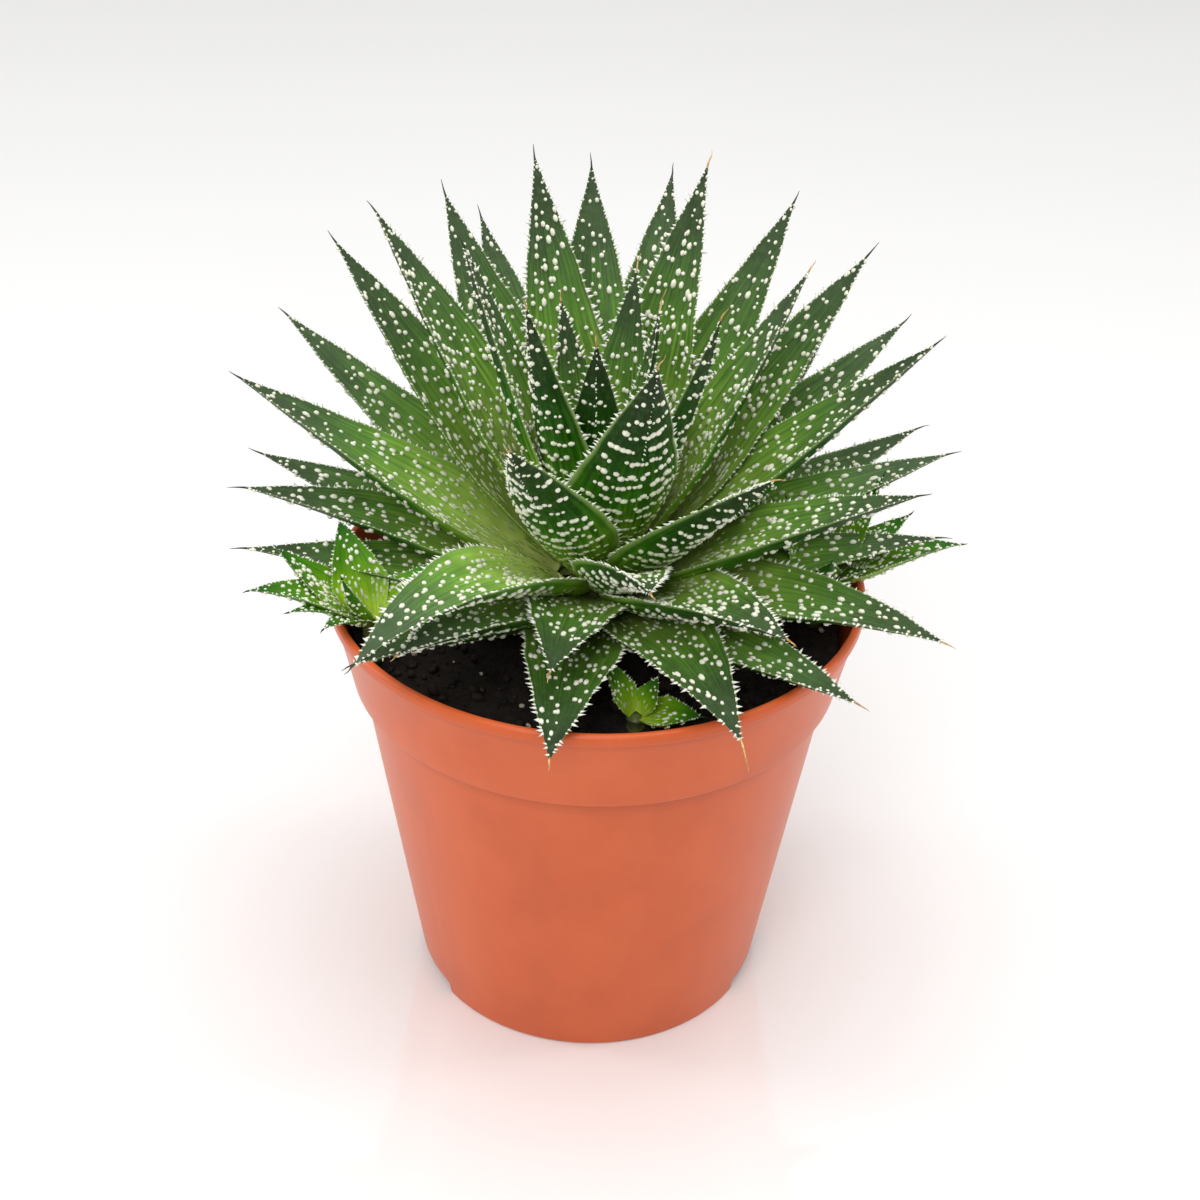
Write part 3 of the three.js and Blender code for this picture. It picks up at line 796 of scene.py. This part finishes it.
def awn(leaf, rng, length, slot):
    """The hair that ends a leaf: a tapering tube. It goes on straight from the tip, plus a parabola to one
    side and the other, and a sine that grows along it."""
    start = tip_of(leaf, LAST_TOOTH)[0]
    tip = tip_of(leaf, 1.0)[0]
    aim = unit(tip - start)
    side = unit(np.cross(aim, [0.3, 0.5, 0.8]))
    other = np.cross(aim, side)
    t = np.linspace(0, 1, AWN_RINGS)
    bend = rng.uniform(-0.22, 0.22, 2)
    wander = np.sin(t * rng.uniform(4, 8)) * t * 0.09
    path = start + aim * (t * (length + np.linalg.norm(tip - start)))[:, None]
    path = path + length * ((bend[0] * t * t + wander)[:, None] * side + (bend[1] * t * t)[:, None] * other)
    radius = mix(AWN_RADIUS, AWN_TIP_RADIUS, t)
    turn = np.arange(AWN_AROUND) * 2 * np.pi / AWN_AROUND
    ring = np.cos(turn)[:, None] * side + np.sin(turn)[:, None] * other
    points = (path[:, None, :] + radius[:, None, None] * ring[None]).reshape(-1, 3)
    vertices = np.concatenate([points, path[:1], path[-1:] + aim * 2 * AWN_TIP_RADIUS])
    faces = closed_tube(AWN_RINGS, AWN_AROUND, counterclockwise=True)
    return [(vertices, faces, slot, 1, 0, 0.5, leaf.tone)]


def root_of(form):
    """The height at which a leaf springs, and how far from the axis: steeper leaves sit higher."""
    share = min(CROWN_TOP_SHARE, (form[1] - LOWEST_RISE) / RISE_SPAN)
    return (0, 0, CROWN_BASE + CROWN_RISE * share), crown_radius(share)


# Leaves whose tips have dried to straw, and the few whose dried tip is long.
DRIED_TIPS = {1, 2, 3, 5, 13, 14, 23, 31, 33, 34, 36, 37, 39, 41, 42, 43, 44, 45, 46}
LONG_TIPS = {2: 6.5, 33: 3.5, 39: 3.6, 45: 4.2, 46: 4.0}
TWISTED = {33: -24}

# Some leaves are lighter than their neighbours and some darker; the darkness of the oldest, low in front, is
# partly their older colour and partly painted shade.
TONES = {
    1: 0.1, 2: 0.25, 4: 0.2, 7: 0.7, 13: 0.4, 14: 0.5, 15: 1.0, 17: 0.95,
    21: 0.75, 23: 0.4, 24: 0.8, 25: 0.8, 31: 0.4, 33: 0.6, 34: 0.6, 39: 0.4,
}

# The young leaves and those that hang in front have the longer teeth.
YOUNGEST = 31
FRONT_SINE = -0.35
TOOTH_SPACING = 1.25
LONG_TEETH = 1.08
SHORT_TEETH = 0.75
INNER_CROWDING = 1.12

for number, form in enumerate(LEAVES, start=1):
    rng = np.random.default_rng(99 + number)
    root, radius = root_of(form)
    leaf = Leaf(root, radius, form, rng, twist=TWISTED.get(number), tone=TONES.get(number))
    toothy = number >= YOUNGEST or math.sin(math.radians(form[0])) < FRONT_SINE
    shells = leaf_body(leaf) + speckles(leaf, rng, INNER_CROWDING if number >= YOUNGEST else 1.0)
    shells += teeth(leaf, rng, TOOTH_SPACING, LONG_TEETH if toothy else SHORT_TEETH)
    reach = LONG_TIPS.get(number, rng.uniform(1.5, 3.0))
    shells += awn(leaf, rng, reach, slot=3 if number in DRIED_TIPS else 0)
    piece = piece_of(f"leaf_{number:02d}_skin", shells, (OLD_SKIN, DOTS, TEETH, AWNS))
    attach(piece, "root")
    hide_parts(f"leaf_{number:02d}")


def soil_height(radius):
    """The soil falls evenly from the middle to the wall."""
    return mix(SOIL_CENTRE, SOIL_EDGE, radius / COLLAR_FOOT_RADIUS)


SHANK_RINGS = 9
SHANK_AROUND = 14
SHANK_WAIST = 0.12
OFFSET_KEEL = 0.6
OFFSET_CROWDING = 1.7
OFFSET_TOOTH_SPACING = 0.9
OFFSET_TEETH = 0.5
OFFSET_AWN = 1.0


def shank(x, y, foot, top, radius):
    """A short stalk: a round tube whose radius dips by half a sine to a slight waist, closed at both ends."""
    t = np.linspace(0, 1, SHANK_RINGS)
    turn = np.arange(SHANK_AROUND) * 2 * np.pi / SHANK_AROUND
    r = radius * (1 - SHANK_WAIST * np.sin(np.pi * t))
    ring = np.stack([np.cos(turn), np.sin(turn)], 1)
    points = np.concatenate([
        np.broadcast_to(ring, (SHANK_RINGS, SHANK_AROUND, 2)) * r[:, None, None] + np.array([x, y]),
        np.broadcast_to(mix(foot, top, t)[:, None, None], (SHANK_RINGS, SHANK_AROUND, 1)),
    ], 2).reshape(-1, 3)
    vertices = np.concatenate([points, [[x, y, foot]], [[x, y, top]]])
    faces = closed_tube(SHANK_RINGS, SHANK_AROUND, counterclockwise=True)
    return [(vertices, faces, 3, 0.1, 0, 0, 0.5)]


for number, (name, (heart, forms)) in enumerate(OFFSETS.items()):
    rng = np.random.default_rng(300 + number)
    x, y, z = heart
    foot = soil_height(math.hypot(x, y) - OFFSET_STEM_RADIUS) + GAP
    shells = shank(x, y, foot, z, OFFSET_STEM_RADIUS)
    for form in forms:
        leaf = Leaf(heart, OFFSET_LEAF_RADIUS, form, rng, keel=OFFSET_KEEL)
        shells += leaf_body(leaf, stations=34, top_count=11)
        shells += speckles(leaf, rng, OFFSET_CROWDING)
        shells += teeth(leaf, rng, OFFSET_TOOTH_SPACING, OFFSET_TEETH)
        shells += awn(leaf, rng, OFFSET_AWN, slot=0)
    piece = piece_of(f"{name}_plant", shells, (YOUNG_SKIN, DOTS, TEETH, STEM))
    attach(piece, "root")
    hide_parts(name)


# ---- Pot ----

def body_radius(height):
    """The outside of the tapering wall: a straight line from the foot to the collar's step."""
    return mix(FOOT_RADIUS, COLLAR_FOOT_RADIUS - COLLAR_STEP, height / COLLAR_FOOT_HEIGHT)


def rounded(profile, cut=CORNER_ROUNDING, steps=3):
    """Each corner of a profile is replaced by a short quadratic curve that starts `cut` mm before it and
    ends as far after it, or a little under half-way along a shorter side."""
    points = [np.array(profile[0], dtype=float)]
    for before, here, after in zip(profile, profile[1:], profile[2:]):
        before, here, after = (np.array(p, dtype=float) for p in (before, here, after))
        reach_in = min(cut, 0.45 * np.linalg.norm(here - before))
        reach_out = min(cut, 0.45 * np.linalg.norm(after - here))
        start = here + (before - here) / np.linalg.norm(before - here) * reach_in
        end = here + (after - here) / np.linalg.norm(after - here) * reach_out
        for t in np.linspace(0, 1, steps + 1):
            points.append((1 - t) ** 2 * start + 2 * t * (1 - t) * here + t * t * end)
    points.append(np.array(profile[-1], dtype=float))
    return np.array(points)


def turned_profile(profile, around):
    """Rings of points: each radius and height of a profile carried round the axis."""
    turn = np.arange(around) * 2 * np.pi / around
    return np.stack([
        profile[:, 0, None] * np.cos(turn), profile[:, 0, None] * np.sin(turn),
        np.broadcast_to(profile[:, 1, None], (len(profile), around)),
    ], -1)


def lathed(profile, around):
    """A body turned from a profile that starts on the axis, runs up the outside and comes back to it."""
    inner = profile[1:-1]
    points = turned_profile(inner, around).reshape(-1, 3)
    vertices = np.concatenate([points, [[0, 0, profile[0][1]]], [[0, 0, profile[-1][1]]]])
    return [(vertices, closed_tube(len(inner), around, counterclockwise=True), 0, 0, 0, 0, 0)]


bead = POT_HEIGHT - BEAD_HEIGHT
lip = RIM_RADIUS - BEAD_THICKNESS
step = COLLAR_FOOT_HEIGHT - STEP_SLOPE
belly = COLLAR_FOOT_RADIUS + COLLAR_SWELL
POT_PROFILE = [
    (0, 0),
    (DISH_RADIUS, 0),
    (DISH_RADIUS + DISH_FLARE, FLOOR_HEIGHT - WALL),
    (FOOT_RADIUS - FOOT_WIDTH - FOOT_TAPER, FLOOR_HEIGHT - WALL),
    (FOOT_RADIUS - FOOT_WIDTH, 0),
    (FOOT_RADIUS - FOOT_CHAMFER, 0),
    (FOOT_RADIUS, FOOT_CHAMFER),
    (body_radius(step), step),
    (COLLAR_FOOT_RADIUS, COLLAR_FOOT_HEIGHT),
    (belly, COLLAR_FOOT_HEIGHT + COLLAR_BREAK),
    (RIM_RADIUS - BEAD_OVERHANG, bead - BEAD_UNDERCUT),
    (RIM_RADIUS, bead),
    (RIM_RADIUS, POT_HEIGHT - BEAD_ROUNDING),
    (RIM_RADIUS - BEAD_ROUNDING, POT_HEIGHT),
    (lip + BEAD_ROUNDING, POT_HEIGHT),
    (lip, bead),
    (belly - WALL, COLLAR_FOOT_HEIGHT + COLLAR_BREAK),
    (COLLAR_FOOT_RADIUS - WALL, COLLAR_FOOT_HEIGHT + STEP_WALL),
    (body_radius(step + STEP_WALL) - WALL, step + STEP_WALL),
    (body_radius(FLOOR_HEIGHT) - WALL, FLOOR_HEIGHT),
    (DISH_RADIUS + DISH_FLARE, FLOOR_HEIGHT),
    (DISH_RADIUS, WALL),
    (0, WALL),
]
pot = piece_of("pot_shell", lathed(rounded(POT_PROFILE), POT_SEGMENTS), (POT_SHELL,))


def prism(name, outline, low, high, place):
    """A cutting tool: a flat outline carried between two heights, its points moved by `place`."""
    count = len(outline)
    points = [place(x, y, z) for z in (low, high) for x, y in outline]
    faces = [tuple(range(count))[::-1], tuple(range(count, 2 * count))]
    faces += [(k, (k + 1) % count, (k + 1) % count + count, k + count) for k in range(count)]
    mesh = bpy.data.meshes.new(name)
    mesh.from_pydata((np.array(points) * MM).tolist(), [], faces)
    mesh.update()
    return in_scene(name, mesh)


def drain_tool(k):
    """An upright round bar through the floor, one of a circle of them."""
    around = 2 * math.pi * k / DRAIN_HOLES
    outline = [(DRAIN_RADIUS * math.cos(t), DRAIN_RADIUS * math.sin(t))
               for t in np.arange(DRAIN_SIDES) * 2 * np.pi / DRAIN_SIDES]

    def place(x, y, z):
        return (x + DRAIN_CIRCLE * math.cos(around), y + DRAIN_CIRCLE * math.sin(around), z)

    return prism(f"drain_{k}", outline, -FLOOR_HEIGHT, 2 * FLOOR_HEIGHT, place)


def arch_tool(k, azimuth):
    """A bar with two cut corners that lies outwards through the foot ring."""
    a = math.radians(azimuth)
    half, top, corner = ARCH_WIDTH / 2, ARCH_HEIGHT, ARCH_CORNER
    outline = [
        (-half, -top), (half, -top), (half, top - corner),
        (half - corner, top), (corner - half, top), (-half, top - corner),
    ]

    def place(x, y, z):
        return (z * math.cos(a) - x * math.sin(a), z * math.sin(a) + x * math.cos(a), y)

    return prism(f"arch_{k}", outline, FOOT_RADIUS - 2 * FOOT_WIDTH, FOOT_RADIUS + 2 * FOOT_WIDTH, place)


cutters = [drain_tool(k) for k in range(DRAIN_HOLES)]
cutters += [arch_tool(k, azimuth) for k, azimuth in enumerate(ARCH_AZIMUTHS)]
for tool in cutters:
    cut = pot.modifiers.new(tool.name, "BOOLEAN")
    cut.operation = "DIFFERENCE"
    cut.solver = "EXACT"
    cut.object = tool
bpy.context.view_layer.update()
cut_mesh = bpy.data.meshes.new_from_object(pot.evaluated_get(bpy.context.evaluated_depsgraph_get()))
pot.modifiers.clear()
pot.data = cut_mesh
pot.data.name = "pot_shell"
for tool in cutters:
    bpy.data.objects.remove(tool, do_unlink=True)
pot.data.polygons.foreach_set("use_smooth", np.ones(len(pot.data.polygons), dtype=bool))
pot.data.set_sharp_from_angle(angle=math.radians(SHARP_EDGE))
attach(pot, "root")
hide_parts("pot")


# ---- Soil ----

def lumps(x, y, rng, count, size):
    """Sum of `count` bumps and hollows at random places, each a Gaussian about `size` mm wide."""
    bx, by = rng.uniform(-LUMPS_REACH, LUMPS_REACH, (2, count))
    width = size * rng.uniform(0.6, 1.4, count)
    weight = rng.normal(0, 1, count)
    total = np.zeros(x.shape)
    for start in range(0, count, 200):
        cut = slice(start, start + 200)
        gap = (x[..., None] - bx[cut]) ** 2 + (y[..., None] - by[cut]) ** 2
        total += (np.exp(-gap / (2 * width[cut] ** 2)) * weight[cut]).sum(-1)
    return total


def soil_relief(x, y):
    """Height of the soil: its even fall to the wall, with lumps of about 4, 1.4 and 0.7 mm that fade out at
    the stem and at the wall."""
    radius = np.hypot(x, y)
    relief = 0.45 * lumps(x, y, np.random.default_rng(7), count=300, size=4.0)
    relief += 0.30 * lumps(x, y, np.random.default_rng(8), count=1400, size=1.4)
    relief += 0.16 * lumps(x, y, np.random.default_rng(9), count=3000, size=0.7)
    calm = smooth(4, 9, radius) * smooth(57, 53, radius)
    return soil_height(radius) + relief.clip(-1.6, 2.0) * calm


hole = STEM_RADIUS + 2 * GAP
collar = COLLAR_FOOT_RADIUS - WALL - GAP
wall_top = collar + SOIL_FLARE
shoulder = step + STEP_WALL


def soil_bed():
    """The top is a grid of rings carried over the lumps. The side and the bottom follow the pot's inside."""
    turn = np.arange(SOIL_SEGMENTS) * 2 * np.pi / SOIL_SEGMENTS
    radii = np.linspace(hole - 4, wall_top, SOIL_RINGS)
    side = rounded([
        (wall_top, soil_height(COLLAR_FOOT_RADIUS) - 1.5),
        (collar, COLLAR_FOOT_HEIGHT + STEP_WALL + GAP),
        (body_radius(shoulder) - WALL - GAP, shoulder),
        (body_radius(FLOOR_HEIGHT + GAP) - WALL - GAP, FLOOR_HEIGHT + GAP),
        (DISH_RADIUS + DISH_FLARE - GAP, FLOOR_HEIGHT + GAP),
        (DISH_RADIUS - GAP, WALL + GAP),
        (1, WALL + GAP),
    ], steps=2)
    gx, gy = radii[:, None] * np.cos(turn), radii[:, None] * np.sin(turn)
    top = np.stack([gx, gy, soil_relief(gx, gy)], -1)
    points = np.concatenate([top, turned_profile(side, SOIL_SEGMENTS)]).reshape(-1, 3)
    vertices = np.concatenate([points, [[0, 0, SOIL_CENTRE]], [[0, 0, WALL + GAP]]])
    faces = closed_tube(SOIL_RINGS + len(side), SOIL_SEGMENTS, counterclockwise=False)
    return [(vertices, faces, 0, 0, 0, 0, 0)]


GRAIN_RISE = 0.25


def grains(rng, count, smallest, largest, reach):
    """Crushed lumps on the soil: twenty-sided forms, each corner pushed in or out, then stretched and spun
    at random. Small ones are commoner, as the size goes by the square of a random share."""
    golden = (1 + 5 ** 0.5) / 2
    corners = unit(np.array([
        (-1, golden, 0), (1, golden, 0), (-1, -golden, 0), (1, -golden, 0),
        (0, -1, golden), (0, 1, golden), (0, -1, -golden), (0, 1, -golden),
        (golden, 0, -1), (golden, 0, 1), (-golden, 0, -1), (-golden, 0, 1),
    ], dtype=float))
    faces = np.array([
        (0, 11, 5), (0, 5, 1), (0, 1, 7), (0, 7, 10), (0, 10, 11), (1, 5, 9), (5, 11, 4), (11, 10, 2),
        (10, 7, 6), (7, 1, 8), (3, 9, 4), (3, 4, 2), (3, 2, 6), (3, 6, 8), (3, 8, 9), (4, 9, 5),
        (2, 4, 11), (6, 2, 10), (8, 6, 7), (9, 8, 1),
    ])
    radius = reach * np.sqrt(rng.uniform((hole + 3) ** 2 / reach ** 2, 1, count))
    turn = rng.uniform(0, 2 * np.pi, count)
    x, y = radius * np.cos(turn), radius * np.sin(turn)
    size = smallest * (largest / smallest) ** (rng.random(count) ** 2)
    stretch = rng.uniform(0.55, 1.25, (count, 1, 3))
    dents = rng.uniform(0.75, 1.15, (count, 12, 1))
    spin = rng.uniform(0, 2 * np.pi, count)
    shape = corners[None] * dents * stretch * (size / 2)[:, None, None]
    cos, sin = np.cos(spin)[:, None], np.sin(spin)[:, None]
    shape = np.stack([
        shape[..., 0] * cos - shape[..., 1] * sin,
        shape[..., 0] * sin + shape[..., 1] * cos,
        shape[..., 2],
    ], -1)
    z = soil_relief(x, y) + size * GRAIN_RISE
    vertices = (shape + np.stack([x, y, z], -1)[:, None, :]).reshape(-1, 3)
    base = (np.arange(count) * 12)[:, None, None]
    return [(vertices, [(faces[None] + base).reshape(-1, 3)], 0, 0, 0, 0, 0)]


bed = piece_of("soil_bed", soil_bed(), (PEAT,))
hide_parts("soil")
crushed = grains(np.random.default_rng(21), count=900, smallest=0.8, largest=3.4, reach=53.5)
crumbs = piece_of("soil_crumbs", crushed, (CRUMBS,))
beads = grains(np.random.default_rng(22), count=26, smallest=0.9, largest=2.2, reach=53)
popped = piece_of("soil_perlite", beads, (PERLITE,))
for piece in (bed, crumbs, popped):
    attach(piece, "root")

# The CAD stem stays, with living tissue in place of its plain material.
for entry in bpy.data.objects:
    if entry.name == "stem" and entry.type == "MESH":
        for slot in entry.material_slots:
            slot.material = STEM


# ---- Stage ----

TABLE_HALF = 4.0


def stage_floor():
    """A square table top in metres, its middle under the pot."""
    mesh = bpy.data.meshes.new("table_top")
    corners = [(x * TABLE_HALF, y * TABLE_HALF, 0) for x, y in ((-1, -1), (1, -1), (1, 1), (-1, 1))]
    mesh.from_pydata(corners, [], [(0, 1, 2, 3)])
    mesh.materials.append(TABLE)
    return in_scene("table_top", mesh)


stage_floor()


LIGHTS_AIM = (0, 0, 0.1)


def softbox(name, place, size, power):
    """A rectangular studio light at `place`, turned to face the plant."""
    light = bpy.data.lights.new(name, "AREA")
    light.shape = "RECTANGLE"
    light.size, light.size_y = size
    light.energy = power
    made = in_scene(name, light)
    away = Vector(place) - Vector(LIGHTS_AIM)
    made.matrix_world = Matrix.Translation(place) @ away.to_track_quat("Z", "Y").to_matrix().to_4x4()


softbox("overhead_softbox", (0.0, 0.0, 1.3), size=(1.1, 1.1), power=9)
softbox("front_softbox", (-0.3, -1.1, 1.15), size=(0.7, 0.6), power=8)
softbox("left_strip", (-0.9, 0.1, 0.35), size=(0.2, 0.9), power=2.2)
softbox("right_strip", (0.9, 0.1, 0.35), size=(0.2, 0.9), power=2.2)

world = bpy.data.worlds.new("studio")
world.use_nodes = True
world.node_tree.nodes["Background"].inputs["Color"].default_value = linear("#fbfaf8")
world.node_tree.nodes["Background"].inputs["Strength"].default_value = 0.58
bpy.context.scene.world = world
bpy.context.scene.view_settings.view_transform = "Standard"

# The camera looks down at the plant from in front, in metres and degrees.
CAMERA_PLACE = (0, -0.415, 0.3691)
CAMERA_FALL = 33.17
CAMERA_TURN = -0.11
CAMERA_ROLL = 1.58
FOCAL_LENGTH = 66.05

lens = bpy.data.cameras.new("camera")
lens.sensor_width = 36
lens.lens = FOCAL_LENGTH
lens.clip_start = 0.01
lens.clip_end = 20
camera = in_scene("camera", lens)
camera.matrix_world = (
    Matrix.Translation(CAMERA_PLACE)
    @ Matrix.Rotation(math.radians(CAMERA_TURN), 4, "Z")
    @ Matrix.Rotation(math.radians(90 - CAMERA_FALL), 4, "X")
    @ Matrix.Rotation(math.radians(CAMERA_ROLL), 4, "Z")
)
bpy.context.scene.camera = camera

bpy.context.view_layer.update()
